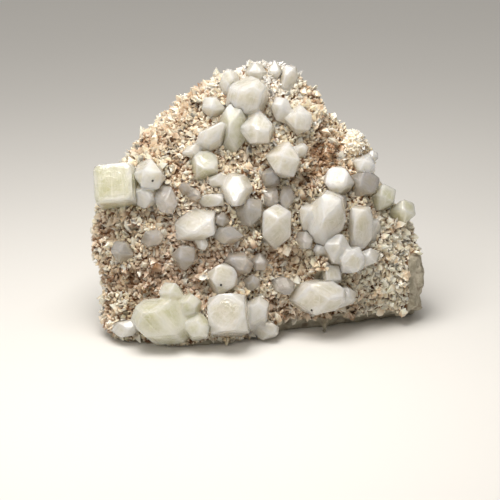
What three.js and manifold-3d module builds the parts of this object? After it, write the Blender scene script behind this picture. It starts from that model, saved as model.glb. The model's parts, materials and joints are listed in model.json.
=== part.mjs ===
// An apophyllite cluster: milky to clear square crystals that grew over the leaning front
// of a broken slab of rock, among a crust of small stilbite crystals.
// Millimetres. X runs to the right along the front, Y from front to back, Z up.

import * as THREE from 'three';
import { mergeVertices } from 'three/addons/utils/BufferGeometryUtils.js';
import Module from 'manifold-3d';

const wasm = await Module();
wasm.setup();

// The slab: its height, how far its front leans back, and how finely it is faceted
const SLAB_HEIGHT = 115;
const FACE_LEAN = THREE.MathUtils.degToRad(25);
const SLAB_LEVELS = 19;
const SLAB_SIDES = 48;

// Outlines of the slab as pairs of height above the base and a distance at that height:
// its left and right edges from the middle, and how deep its two edges and its back lie
const LEFT_EDGE = [
  [0, -69], [6, -73], [20, -74.5], [38, -76], [50, -75], [58, -74], [66, -70], [73, -62],
  [80, -58], [86, -55], [90, -46], [96, -40], [102, -34], [107, -26], [112, -15], [115, -7],
];
const RIGHT_EDGE = [
  [0, 73], [4, 76], [17, 78], [30, 75], [37, 73], [44, 69], [58, 61], [70, 52], [78, 47],
  [83, 40], [88, 36], [95, 32], [103, 26], [109, 20], [115, 10],
];
const LEFT_EDGE_DEPTH = [[0, 10], [40, 25], [80, 41], [115, 54]];
const RIGHT_EDGE_DEPTH = [[0, 38], [5, 30], [20, 32], [50, 41], [115, 55]];
const BACK_DEPTH = [[0, 73], [30, 74], [70, 71], [100, 67], [115, 61]];

// How far the front swells forward of the line between its two edges
const FRONT_SWELL = [[0, 9], [20, 14], [45, 18], [70, 17], [95, 11], [115, 4]];
const FOOT_SWELL = 12;
const FOOT_MIDDLE = -30;
const FOOT_REACH = 30;
const FOOT_HEIGHT = 34;
const RIGHT_HOLLOW = 0.9;
const HOLLOW_HEIGHT = 20;

// Roughness of the rock: size and height of its lumps, and of the ledges on its back
const LUMP_SIZE = 13;
const LUMP_HEIGHT = 3.4;
const GRAIN_SIZE = 5.5;
const GRAIN_HEIGHT = 1.8;
const LEDGE_SIZE = 21;
const LEDGE_STEP = 3;
const LEDGES = 3;

// The crust: spacing of its small crystals over the face, and their sizes
const CRUST_SPACING = 10;
const CRUST_WIDTH = [4, 7];
const CRUST_LENGTH = [5.5, 9];
const CRUST_THINNESS = 0.55;
const CRUST_SPREAD = 1.3;
const CRUST_MARGIN = 2.5;
const CRUST_INSET = 5;
const CRUST_SEED = 20;

// An apophyllite pyramid rises 1.25 mm for each mm of its girdle
const PYRAMID_STEEPNESS = 1.25;
// Free space between a crystal and what it grows in
const GAP = 0.3;
const MERGE_DISTANCE = 1e-5;
const CRYSTAL_FLATNESS = 0.02;
const ROCK_FLATNESS = 0.2;

const ROCK = { color: 0xb39d86, roughness: 0.92, metalness: 0 };
const MILKY = { color: 0xd3cfc4, roughness: 0.28, metalness: 0 };
const GREENISH = { color: 0xc9c8a8, roughness: 0.25, metalness: 0 };
const CLEAR = { color: 0xdedcd6, roughness: 0.12, metalness: 0 };
const PEACH = { color: 0xe6d2b0, roughness: 0.55, metalness: 0 };

// Every crystal that stands clear of the crust, grouped by what grew together.
// across and up: where its middle lies on the face, from the cluster's middle and its foot.
// out: how far its middle stands off the rock. width and length: side of its square prism and
// distance from tip to tip. flat: 0 for a sharp point to 1 for a plain square end.
// thin: its second side against its first. axis: its long direction as right, up, out.
// spin: degrees about that axis.
const CRYSTALS = {
  left_corner_crystal: { look: GREENISH, members: [
    { across: -64, up: 70.5, out: 3, width: 17, length: 21, flat: 0.86,
      axis: [-0.14, 0.1, 1], spin: 4 },
  ] },
  left_shoulder_crystals: { look: MILKY, members: [
    { across: -50, up: 75.5, out: 2.5, width: 11, length: 17, flat: 0.5,
      axis: [0.2, -0.35, 1], spin: 38 },
    { across: -51, up: 67.5, out: 0.5, width: 9, length: 13, flat: 0.55,
      axis: [-0.3, -0.5, 0.8], spin: 10 },
  ] },
  left_inner_crystal: { look: CLEAR, members: [
    { across: -42.5, up: 65, out: 1.5, width: 9, length: 17, flat: 0.3,
      axis: [0.3, -0.75, 0.75], spin: 30 },
  ] },
  left_sparkle_crystals: { look: CLEAR, members: [
    { across: -33.5, up: 69.5, out: 1, width: 5, length: 11, flat: 0.1,
      axis: [-0.4, 0.3, 1], spin: 20 },
    { across: -30, up: 67, out: 1, width: 5, length: 11, flat: 0.2, axis: [0.5, -0.3, 1], spin: 60 },
  ] },
  left_oblong_crystal: { look: MILKY, members: [
    { across: -22, up: 64.5, out: 1, width: 5.5, length: 11, flat: 0.5,
      axis: [1, 0.05, 0.25], spin: 10 },
  ] },
  heart_crystal: { look: MILKY, members: [
    { across: -11, up: 69.5, out: 2.5, width: 12, length: 22, flat: 0.12,
      axis: [-0.08, -0.75, 0.7], spin: 45 },
    { across: -19, up: 73, out: 1, width: 5.5, length: 10, flat: 0.3,
      axis: [-0.9, -0.1, 0.5], spin: 20 },
  ] },
  shard_crystal: { look: MILKY, members: [
    { across: -22.5, up: 92, out: 2.5, width: 12, length: 20, flat: 0.15, thin: 0.7,
      axis: [0.55, 0.6, 0.6], spin: 15 },
    { across: -30, up: 86.5, out: 1.5, width: 5.5, length: 13, flat: 0,
      axis: [-0.9, -0.25, 0.45], spin: 15 },
  ] },
  flat_crystal: { look: GREENISH, members: [
    { across: -25.5, up: 79.5, out: 0.5, width: 10, length: 11, flat: 0.7,
      axis: [0.2, 0.5, 0.9], spin: 12 },
  ] },
  faint_crystal: { look: MILKY, members: [
    { across: -21.5, up: 106.5, out: 0.5, width: 8.5, length: 12, flat: 0.4,
      axis: [-0.4, 0.2, 0.9], spin: 35 },
  ] },
  green_crystal: { look: GREENISH, members: [
    { across: -12.5, up: 97, out: 0.5, width: 10.5, length: 22, flat: 0.35,
      axis: [0.12, 0.95, 0.35], spin: 25 },
  ] },
  summit_crystals: { look: MILKY, members: [
    { across: -6.5, up: 110, out: 3.5, width: 16, length: 25, flat: 0.22,
      axis: [0.5, 0.35, 0.9], spin: 8 },
    { across: -2, up: 96.5, out: 3, width: 13, length: 20, flat: 0.3,
      axis: [0.25, -0.5, 0.85], spin: 42 },
  ] },
  summit_left_crystal: { look: MILKY, members: [
    { across: -14, up: 116.5, out: 0.5, width: 8.5, length: 16, flat: 0.2,
      axis: [-0.1, 0.85, 0.55], spin: 30 },
  ] },
  rim_left_crystal: { look: MILKY, members: [
    { across: -2.5, up: 123, out: -1, width: 7.5, length: 8, flat: 0.5,
      axis: [-0.75, 0.55, 0.45], spin: 20 },
  ] },
  rim_point_crystal: { look: MILKY, members: [
    { across: 6, up: 123.5, out: -1, width: 7, length: 12, flat: 0, axis: [0, 0.95, 0.35], spin: 30 },
  ] },
  rim_right_crystal: { look: MILKY, members: [
    { across: 12, up: 120, out: -0.5, width: 6.5, length: 13, flat: 0.45,
      axis: [0.2, 0.9, 0.4], spin: 12 },
  ] },
  upper_right_crystals: { look: MILKY, members: [
    { across: 9, up: 105, out: 1, width: 8.5, length: 13, flat: 0.35,
      axis: [-0.2, 0.6, 0.8], spin: 25 },
    { across: 16.5, up: 101, out: 1.5, width: 10, length: 14, flat: 0.5,
      axis: [0.3, -0.25, 0.95], spin: 40 },
  ] },
  upper_middle_crystal: { look: MILKY, members: [
    { across: 9.5, up: 82.5, out: 3, width: 12.5, length: 18, flat: 0.45,
      axis: [0.25, -0.45, 0.9], spin: 30 },
    { across: 16.5, up: 86, out: 1, width: 6, length: 11, flat: 0.3, axis: [0.6, 0.5, 0.7], spin: 10 },
  ] },
  middle_clear_crystals: { look: CLEAR, members: [
    { across: 4, up: 74.5, out: 1, width: 7.5, length: 13, flat: 0.25,
      axis: [0.4, 0.4, 0.9], spin: 15 },
    { across: 4, up: 67, out: 0.5, width: 6.5, length: 12, flat: 0.4, axis: [0.1, -0.8, 0.6], spin: 5 },
  ] },
  leaf_crystal: { look: CLEAR, members: [
    { across: 11, up: 66, out: 2, width: 6, length: 15, flat: 0, axis: [-0.12, -0.95, 0.35], spin: 45 },
  ] },
  centre_dome_crystal: { look: CLEAR, members: [
    { across: -5, up: 59, out: 1.5, width: 10.5, length: 14, flat: 0.4,
      axis: [0.3, 0.45, 0.85], spin: 40 },
  ] },
  centre_small_crystal: { look: CLEAR, members: [
    { across: -17.5, up: 56, out: 1, width: 5.5, length: 9, flat: 0.4,
      axis: [-0.2, -0.3, 1], spin: 30 },
  ] },
  centre_crystal: { look: MILKY, members: [
    { across: 6.5, up: 53, out: 3, width: 12.5, length: 18, flat: 0.45,
      axis: [0.05, 0.75, 0.75], spin: 0 },
  ] },
  bladed_crystal: { look: MILKY, members: [
    { across: -29, up: 53.5, out: 1.5, width: 13, length: 18, flat: 0.5, thin: 0.55,
      axis: [0.95, 0.1, 0.3], spin: 70 },
    { across: -26.5, up: 46, out: 1, width: 5, length: 10, flat: 0.3,
      axis: [0.2, -0.6, 0.8], spin: 20 },
  ] },
  pointing_crystal: { look: CLEAR, members: [
    { across: -16, up: 49.5, out: 1.5, width: 8, length: 18, flat: 0,
      axis: [0.95, -0.12, 0.3], spin: 25 },
  ] },
  clear_sparkle_crystal: { look: CLEAR, members: [
    { across: 19, up: 47, out: 1.5, width: 7, length: 11, flat: 0.3,
      axis: [0.3, -0.5, 0.85], spin: 40 },
  ] },
  tall_right_crystals: { look: MILKY, members: [
    { across: 28.5, up: 57, out: 3.5, width: 13, length: 23, flat: 0.42,
      axis: [0.3, 0.85, 0.4], spin: 22 },
    { across: 21.5, up: 56, out: 0.5, width: 8, length: 15, flat: 0.4,
      axis: [-0.15, 0.8, 0.6], spin: 10 },
    { across: 35.5, up: 63.5, out: 0, width: 5, length: 11, flat: 0, axis: [0.4, 0.85, 0.4], spin: 30 },
  ] },
  right_prism_crystals: { look: MILKY, members: [
    { across: 44, up: 53.5, out: 2.5, width: 9, length: 18.5, flat: 0.55,
      axis: [0.03, 0.9, 0.4], spin: 18 },
    { across: 50, up: 52, out: 0.5, width: 5, length: 11, flat: 0.5, axis: [0.1, 0.85, 0.5], spin: 40 },
  ] },
  right_group_crystals: { look: MILKY, members: [
    { across: 33.5, up: 43, out: 2.5, width: 10.5, length: 15, flat: 0.42,
      axis: [-0.2, 0.6, 0.8], spin: 35 },
    { across: 39.5, up: 39, out: 2.5, width: 10.5, length: 15, flat: 0.6,
      axis: [0.15, -0.2, 1], spin: 12 },
    { across: 46.5, up: 39.5, out: 0.5, width: 7, length: 12, flat: 0.5,
      axis: [0.6, 0.2, 0.75], spin: 20 },
    { across: 26.5, up: 42.5, out: 0.5, width: 5, length: 9, flat: 0.4,
      axis: [-0.4, 0.3, 0.9], spin: 15 },
  ] },
  square_crystal: { look: MILKY, members: [
    { across: 30.5, up: 31, out: 0.5, width: 7, length: 12, flat: 0.95,
      axis: [0.25, 0.3, 0.9], spin: 4 },
  ] },
  lying_crystal: { look: MILKY, members: [
    { across: 25, up: 22.5, out: 3.5, width: 14, length: 26, flat: 0.22,
      axis: [0.92, 0.02, 0.38], spin: 20 },
    { across: 36.5, up: 23, out: 0, width: 8.5, length: 13, flat: 0.35,
      axis: [0.65, 0, 0.75], spin: 30 },
  ] },
  bladed_clear_crystal: { look: CLEAR, members: [
    { across: 9, up: 27.5, out: 1, width: 7.5, length: 12, flat: 0.3, thin: 0.6,
      axis: [0.85, -0.4, 0.35], spin: 60 },
  ] },
  bright_sparkle_crystal: { look: CLEAR, members: [
    { across: -4.5, up: 28, out: 1.5, width: 6.5, length: 11, flat: 0.3,
      axis: [0.35, 0.2, 0.9], spin: 25 },
  ] },
  speckled_crystal: { look: MILKY, members: [
    { across: -17.5, up: 29.5, out: 1, width: 11.5, length: 13, flat: 0.6,
      axis: [0.2, 0.15, 1], spin: 32 },
  ] },
  middle_left_crystal: { look: CLEAR, members: [
    { across: -10.5, up: 37, out: 1.5, width: 9, length: 14, flat: 0.35,
      axis: [0.75, -0.3, 0.6], spin: 20 },
  ] },
  middle_small_crystal: { look: CLEAR, members: [
    { across: -1, up: 37.5, out: 1, width: 6.5, length: 10, flat: 0.4,
      axis: [0.1, -0.5, 0.85], spin: 45 },
  ] },
  foot_crystals: { look: GREENISH, members: [
    { across: -43, up: 11, out: 3, width: 17.5, length: 29, flat: 0.3,
      axis: [-0.85, 0.12, 0.55], spin: 12 },
    { across: -39, up: 21.5, out: 1.5, width: 9, length: 14, flat: 0.45,
      axis: [-0.4, 0.6, 0.7], spin: 30 },
    { across: -32.5, up: 17, out: 2, width: 9.5, length: 14, flat: 0.35,
      axis: [0.4, 0.4, 0.85], spin: 10 },
    { across: -28.5, up: 8.5, out: 3.5, width: 10.5, length: 15, flat: 0.3,
      axis: [0.45, -0.3, 0.85], spin: 35 },
  ] },
  foot_block_crystals: { look: MILKY, members: [
    { across: -14.5, up: 13.5, out: 4, width: 16.5, length: 21, flat: 0.66,
      axis: [-0.1, 0.1, 1], spin: 5 },
    { across: -3.5, up: 14.5, out: 1.5, width: 10, length: 17, flat: 0.35,
      axis: [0.5, 0.55, 0.65], spin: 20 },
    { across: 1.5, up: 8, out: 0.5, width: 7.5, length: 13, flat: 0.3,
      axis: [0.85, -0.1, 0.5], spin: 30 },
  ] },
  corner_white_crystal: { look: MILKY, members: [
    { across: -61, up: 8, out: 2, width: 7, length: 12, flat: 0.3, axis: [0.85, 0.05, 0.5], spin: 15 },
  ] },
  low_left_crystal: { look: CLEAR, members: [
    { across: -61.5, up: 42, out: 0.5, width: 8, length: 12, flat: 0.4,
      axis: [-0.4, 0.3, 0.85], spin: 25 },
  ] },
  low_middle_crystal: { look: CLEAR, members: [
    { across: -48.5, up: 47.5, out: 0.5, width: 7, length: 12, flat: 0.3,
      axis: [0.7, 0.2, 0.7], spin: 10 },
  ] },
  low_inner_crystal: { look: CLEAR, members: [
    { across: -34, up: 39.5, out: 0.5, width: 9, length: 12, flat: 0.5, axis: [0.2, 0.2, 1], spin: 40 },
  ] },
  knob_white_crystals: { look: MILKY, members: [
    { across: 46, up: 81.5, out: 2, width: 8, length: 13, flat: 0.45,
      axis: [0.2, -0.3, 0.95], spin: 20 },
    { across: 48.5, up: 85, out: 0.5, width: 5, length: 10, flat: 0.4,
      axis: [0.6, 0.35, 0.7], spin: 40 },
  ] },
  right_shoulder_crystal: { look: CLEAR, members: [
    { across: 45.5, up: 72.5, out: 0.5, width: 10.5, length: 14, flat: 0.55,
      axis: [0.4, 0.15, 0.9], spin: 15 },
  ] },
  right_faint_crystal: { look: MILKY, members: [
    { across: 34.5, up: 73.5, out: -0.5, width: 11, length: 13, flat: 0.6,
      axis: [-0.15, 0.2, 1], spin: 35 },
  ] },
  right_edge_crystal: { look: GREENISH, members: [
    { across: 54, up: 67, out: 0, width: 9.5, length: 13, flat: 0.5,
      axis: [0.45, 0.3, 0.85], spin: 25 },
  ] },
  right_corner_crystal: { look: GREENISH, members: [
    { across: 63, up: 60.5, out: 0, width: 8.5, length: 13, flat: 0.55,
      axis: [0.6, 0.4, 0.7], spin: 40 },
  ] },
};

// Flat breaks on the slab's back and sides: which way each faces and a point that it passes
const BREAKS = [
  { facing: [0.12, 1, 0.1], through: [0, 71, 40] },
  { facing: [-0.75, 0.66, 0.12], through: [-60, 60, 40] },
  { facing: [0.8, 0.6, 0.02], through: [62, 64, 30] },
  { facing: [-0.6, 0.62, 0.5], through: [-38, 64, 88] },
  { facing: [0.62, 0.6, 0.5], through: [36, 66, 84] },
  { facing: [1, 0.05, 0.08], through: [76.5, 40, 12] },
  { facing: [-1, 0.25, -0.12], through: [-75.5, 28, 34] },
  { facing: [-0.1, 0.82, -0.56], through: [0, 71, 8] },
];
const BREAK_BLOCK = 200;

// The peach stilbite knob on the right shoulder: its place on the face and its half sizes
const KNOB = { across: 42, up: 90.5, out: -2 };
const KNOB_HALF_SIZES = [7.2, 8.2, 6.5];
const KNOB_LUMPS = 0.16;

// Pits in the crust: place on the face, how wide and how deep
const PITS = [
  { across: 38.5, up: 81, width: 6, depth: 7 },
  { across: 38, up: 30.5, width: 9, depth: 7 },
  { across: 20, up: 32, width: 5, depth: 6 },
  { across: -4, up: 86, width: 8, depth: 6 },
  { across: -49, up: 60, width: 9, depth: 6 },
  { across: -55, up: 20.5, width: 9, depth: 5 },
  { across: -26, up: 24, width: 8, depth: 6 },
];

// Height of a broken line, given as pairs, at one place along it
function along(pairs, place) {
  const next = pairs.findIndex((pair) => pair[0] >= place);
  if (next === -1) return pairs[pairs.length - 1][1];
  if (next === 0) return pairs[0][1];
  const [fromPlace, fromValue] = pairs[next - 1];
  const [toPlace, toValue] = pairs[next];
  return THREE.MathUtils.mapLinear(place, fromPlace, toPlace, fromValue, toValue);
}

// A fixed number from 0 to 1 for each corner of a cubic lattice
function latticeValue(i, j, k) {
  const wave = Math.sin(i * 127.1 + j * 311.7 + k * 74.7) * 43758.5453;
  return wave - Math.floor(wave);
}

// Smooth bumps from -1 to 1, about one for each stretch of the given size
function bumps(point, size) {
  const cell = point.clone().divideScalar(size).floor();
  const within = point.clone().divideScalar(size).sub(cell);
  const ease = (t) => t * t * (3 - 2 * t);
  const [fx, fy, fz] = [ease(within.x), ease(within.y), ease(within.z)];
  const corner = (i, j, k) => latticeValue(cell.x + i, cell.y + j, cell.z + k);
  const edge = (j, k) => THREE.MathUtils.lerp(corner(0, j, k), corner(1, j, k), fx);
  const side = (k) => THREE.MathUtils.lerp(edge(0, k), edge(1, k), fy);
  return 2 * THREE.MathUtils.lerp(side(0), side(1), fz) - 1;
}

// Repeatable random numbers from 0 to 1
function randomNumbers(seed) {
  let state = seed;
  return () => {
    state = (state * 1664525 + 1013904223) % 4294967296;
    return state / 4294967296;
  };
}

// Depth of the line that joins the slab's two edges
function edgeLineDepth(share, height) {
  const left = along(LEFT_EDGE_DEPTH, height);
  const right = along(RIGHT_EDGE_DEPTH, height);
  return THREE.MathUtils.lerp(left, right, (share + 1) / 2);
}

// Roundness of the slab between its edges: 1 in the middle, 0 at an edge
function fullness(share, power) {
  return (1 - Math.abs(share) ** power) ** (1 / power);
}

// Depth of the smooth front at a share of -1 to 1 of the width and a height
function frontDepth(share, height) {
  const across = acrossAt(share, height);
  const low = Math.max(0, 1 - height / FOOT_HEIGHT);
  const near = Math.exp(-(((across - FOOT_MIDDLE) / FOOT_REACH) ** 2));
  const hollow = Math.max(0, 1 - height / HOLLOW_HEIGHT) * Math.max(0, share) * RIGHT_HOLLOW;
  const swell = along(FRONT_SWELL, height) * (1 - hollow) + FOOT_SWELL * low * near;
  return edgeLineDepth(share, height) - swell * fullness(share, 2.6);
}

function backDepth(share, height) {
  const middle = edgeLineDepth(share, height);
  return middle + (along(BACK_DEPTH, height) - middle) * fullness(share, 3.4);
}

function acrossAt(share, height) {
  const left = along(LEFT_EDGE, height);
  const right = along(RIGHT_EDGE, height);
  return THREE.MathUtils.lerp(left, right, (share + 1) / 2);
}

function shareAt(across, height) {
  const left = along(LEFT_EDGE, height);
  const right = along(RIGHT_EDGE, height);
  return THREE.MathUtils.clamp(THREE.MathUtils.mapLinear(across, left, right, -1, 1), -0.98, 0.98);
}

// Directions of the leaning face in the cluster's frame
const FACE_RIGHT = new THREE.Vector3(1, 0, 0);
const FACE_UP = new THREE.Vector3(0, Math.sin(FACE_LEAN), Math.cos(FACE_LEAN));
const FACE_OUT = new THREE.Vector3(0, -Math.cos(FACE_LEAN), Math.sin(FACE_LEAN));
const FACE_STEPS = 8;

// The point of the rock's front that lies at one place on the face, moved out by some way
function facePoint(across, up, out) {
  const flat = FACE_RIGHT.clone().multiplyScalar(across).addScaledVector(FACE_UP, up);
  let stand = 0;
  for (let step = 0; step < FACE_STEPS; step += 1) {
    const point = flat.clone().addScaledVector(FACE_OUT, stand);
    const height = THREE.MathUtils.clamp(point.z, 0, SLAB_HEIGHT);
    const front = frontDepth(shareAt(across, height), height);
    stand += (point.y - front) / Math.cos(FACE_LEAN);
  }
  return flat.addScaledVector(FACE_OUT, stand + out);
}

// A closed geometry as a solid that can be joined and cut
function toSolid(geometry) {
  const bare = geometry.clone();
  bare.deleteAttribute('normal');
  bare.deleteAttribute('uv');
  const merged = mergeVertices(bare, MERGE_DISTANCE);
  return new wasm.Manifold(new wasm.Mesh({
    numProp: 3,
    vertProperties: new Float32Array(merged.attributes.position.array),
    triVerts: new Uint32Array(merged.index.array),
  }));
}

// A solid as a geometry, without the points that lie on a flat face to within the tolerance
function toGeometry(solid, flatness) {
  const mesh = solid.asOriginal().simplify(flatness).getMesh();
  const geometry = new THREE.BufferGeometry();
  geometry.setAttribute('position', new THREE.BufferAttribute(mesh.vertProperties, 3));
  geometry.setIndex(new THREE.BufferAttribute(mesh.triVerts, 1));
  geometry.computeVertexNormals();
  return geometry;
}

// The largest of the bodies that cuts have left
function mainBody(solid) {
  const bodies = solid.decompose();
  return bodies.reduce((best, body) => (body.volume() > best.volume() ? body : best));
}

// Places a shape made round its own middle, long way up, on the face
function onFace({ across, up, out, axis, spin }) {
  const turn = new THREE.Quaternion().setFromUnitVectors(
    new THREE.Vector3(0, 0, 1), new THREE.Vector3(...axis).normalize());
  turn.multiply(new THREE.Quaternion().setFromAxisAngle(
    new THREE.Vector3(0, 0, 1), THREE.MathUtils.degToRad(spin)));
  const lean = new THREE.Quaternion().setFromAxisAngle(FACE_RIGHT, Math.PI / 2 - FACE_LEAN);
  const place = new THREE.Matrix4();
  return place.compose(facePoint(across, up, out), lean.multiply(turn), new THREE.Vector3(1, 1, 1));
}

// A square prism cut by a steep double pyramid, turned so that the pyramid's faces cut the
// prism's corners. grow moves every face outward.
function crystalSolid(crystal, grow = 0) {
  const { width, length, flat, thin = 1 } = crystal;
  const apex = length / 2 + flat * PYRAMID_STEEPNESS * width;
  const girdle = apex / PYRAMID_STEEPNESS;
  const swell = 1 + grow * Math.hypot(Math.SQRT2 / (girdle * thin), 1 / apex);
  const prism = new THREE.BoxGeometry(width + 2 * grow, width * thin + 2 * grow, length + 2 * grow);
  const pyramid = new THREE.OctahedronGeometry(1);
  pyramid.scale(girdle * swell, girdle * thin * swell, apex * swell);
  const place = onFace(crystal);
  prism.applyMatrix4(place);
  pyramid.applyMatrix4(place);
  return toSolid(prism).intersect(toSolid(pyramid));
}

function grownTogether(members, grow = 0) {
  return members.map((member) => crystalSolid(member, grow)).reduce((all, one) => all.add(one));
}

function knobSolid(grow = 0) {
  const knob = new THREE.IcosahedronGeometry(1, 3);
  const position = knob.attributes.position;
  const point = new THREE.Vector3();
  for (let i = 0; i < position.count; i += 1) {
    point.fromBufferAttribute(position, i);
    point.multiplyScalar(1 + KNOB_LUMPS * bumps(point, 0.7));
    position.setXYZ(i, point.x, point.y, point.z);
  }
  knob.scale(...KNOB_HALF_SIZES.map((half) => half + grow));
  knob.applyMatrix4(onFace({ ...KNOB, axis: [0, 0, 1], spin: 0 }));
  return toSolid(knob);
}

// The bare rock: rings round the slab from its flat base to its top, pushed in and out
function rockGeometry() {
  const rock = new THREE.CylinderGeometry(1, 1, 1, SLAB_SIDES, SLAB_LEVELS);
  rock.rotateX(Math.PI / 2);
  const position = rock.attributes.position;
  const point = new THREE.Vector3();
  for (let i = 0; i < position.count; i += 1) {
    point.fromBufferAttribute(position, i);
    const ring = slabPoint(Math.atan2(point.y, point.x), (point.z + 0.5) * SLAB_HEIGHT);
    const middle = slabMiddle(ring.z);
    const whole = Math.hypot(point.x, point.y);
    ring.lerp(middle, 1 - whole);
    position.setXYZ(i, ring.x, ring.y, ring.z);
  }
  return rock;
}

function slabMiddle(height) {
  const depth = (frontDepth(0, height) + backDepth(0, height)) / 2;
  return new THREE.Vector3(acrossAt(0, height), depth, height);
}

// One point of the slab's rough outside, by its direction round the middle and its height
function slabPoint(angle, height) {
  const share = THREE.MathUtils.clamp(Math.cos(angle), -1, 1);
  const atFront = Math.sin(angle) < 0;
  const depth = atFront ? frontDepth(share, height) : backDepth(share, height);
  const smooth = new THREE.Vector3(acrossAt(share, height), depth, height);
  const outward = smooth.clone().sub(slabMiddle(height)).normalize();
  let rough = LUMP_HEIGHT * bumps(smooth, LUMP_SIZE) + GRAIN_HEIGHT * bumps(smooth, GRAIN_SIZE);
  if (!atFront) {
    rough += LEDGE_STEP * Math.round(LEDGES * bumps(smooth, LEDGE_SIZE)) / LEDGES;
  }
  return smooth.addScaledVector(outward, rough - LUMP_HEIGHT / 2);
}

// Whether a place on the face is free of the crystals that stand clear of the crust
function isFree(across, up) {
  const members = Object.values(CRYSTALS).flatMap((cluster) => cluster.members);
  return members.every((member) => {
    const reach = member.width / 2 + CRUST_MARGIN;
    return Math.hypot(member.across - across, member.up - up) > reach;
  });
}

function isOnSlab(across, up) {
  const height = up * Math.cos(FACE_LEAN);
  const belowTop = height < SLAB_HEIGHT;
  const insideLeft = across > along(LEFT_EDGE, height) + CRUST_INSET;
  const insideRight = across < along(RIGHT_EDGE, height) - CRUST_INSET;
  return belowTop && insideLeft && insideRight;
}

// The small crystals of the crust, spread over the face row by row
function crustCrystals() {
  const random = randomNumbers(CRUST_SEED);
  const pick = ([least, most]) => THREE.MathUtils.lerp(least, most, random());
  const crystals = [];
  const reach = -LEFT_EDGE[3][1];
  for (let up = CRUST_SPACING / 2; up < SLAB_HEIGHT / Math.cos(FACE_LEAN); up += CRUST_SPACING) {
    for (let across = -reach; across < reach; across += CRUST_SPACING) {
      const jitter = () => (random() - 0.5) * CRUST_SPACING;
      const crystal = {
        across: across + jitter(),
        up: up + jitter(),
        out: 0,
        width: pick(CRUST_WIDTH),
        length: pick(CRUST_LENGTH),
        axis: [(random() - 0.5) * 2 * CRUST_SPREAD, (random() - 0.5) * 2 * CRUST_SPREAD, 1],
        spin: random() * 90,
      };
      if (isOnSlab(crystal.across, crystal.up) && isFree(crystal.across, crystal.up)) {
        crystals.push(crystal);
      }
    }
  }
  return crystals;
}

// A small crystal of the crust: a leaning blade that is half sunk in the rock
function crustSolid(crystal) {
  const { width, length } = crystal;
  const blade = new THREE.BoxGeometry(width, width * CRUST_THINNESS, length);
  blade.applyMatrix4(onFace(crystal));
  return toSolid(blade);
}

function pitSolid({ across, up, width, depth }) {
  const pit = new THREE.OctahedronGeometry(1);
  pit.scale(width / 2, width / 2, depth);
  pit.applyMatrix4(onFace({ across, up, out: 0, axis: [0.1, 0.2, 1], spin: 30 }));
  return toSolid(pit);
}

// What a break has taken away: a block that lies beyond its flat face
function breakSolid({ facing, through }) {
  const block = new THREE.BoxGeometry(BREAK_BLOCK, BREAK_BLOCK, BREAK_BLOCK);
  block.translate(0, 0, BREAK_BLOCK / 2);
  const turn = new THREE.Quaternion().setFromUnitVectors(
    new THREE.Vector3(0, 0, 1), new THREE.Vector3(...facing).normalize());
  block.applyQuaternion(turn);
  block.translate(...through);
  return toSolid(block);
}

// Cuts from a solid whatever stands within the gap of it
function cutClear(solid, grownNeighbours) {
  return grownNeighbours.reduce((left, neighbour) => left.subtract(neighbour), solid);
}

function named(name, look, geometry, anchor) {
  geometry.translate(-anchor.x, -anchor.y, -anchor.z);
  const mesh = new THREE.Mesh(geometry, new THREE.MeshStandardMaterial(look));
  mesh.name = name;
  mesh.position.copy(anchor);
  return mesh;
}

function buildCrystals(group) {
  const grown = [knobSolid(GAP)];
  const knob = toGeometry(knobSolid(), CRYSTAL_FLATNESS);
  group.add(named('stilbite_knob', PEACH, knob, facePoint(KNOB.across, KNOB.up, KNOB.out)));
  for (const [name, { look, members }] of Object.entries(CRYSTALS)) {
    const solid = mainBody(cutClear(grownTogether(members), grown));
    const { across, up, out } = members[0];
    const geometry = toGeometry(solid, CRYSTAL_FLATNESS);
    group.add(named(name, look, geometry, facePoint(across, up, out)));
    grown.push(grownTogether(members, GAP));
  }
  return grown;
}

function matrixSolid(grownCrystals) {
  const broken = cutClear(toSolid(rockGeometry()), BREAKS.map(breakSolid));
  const crusted = crustCrystals().reduce((rock, crystal) => rock.add(crustSolid(crystal)), broken);
  const belowBase = breakSolid({ facing: [0, 0, -1], through: [0, 0, 0] });
  return mainBody(cutClear(crusted, [...PITS.map(pitSolid), ...grownCrystals, belowBase]));
}

function buildCluster() {
  const cluster = new THREE.Group();
  const grownCrystals = buildCrystals(cluster);
  const matrix = toGeometry(matrixSolid(grownCrystals), ROCK_FLATNESS);
  cluster.add(named('matrix', ROCK, matrix, new THREE.Vector3()));
  const box = new THREE.Box3().setFromObject(cluster);
  const middle = box.getCenter(new THREE.Vector3());
  cluster.position.set(-middle.x, -middle.y, -box.min.z);
  return cluster;
}

const cluster = buildCluster();
export default cluster;
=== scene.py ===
"""The looks of an apophyllite cluster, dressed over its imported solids. Metres, Z up."""

import json
import logging
import math
import random
from dataclasses import dataclass, field
from enum import Enum

import bmesh
import bpy
import numpy as np
from mathutils import Matrix, Vector, geometry, noise
from mathutils.bvhtree import BVHTree


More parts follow.
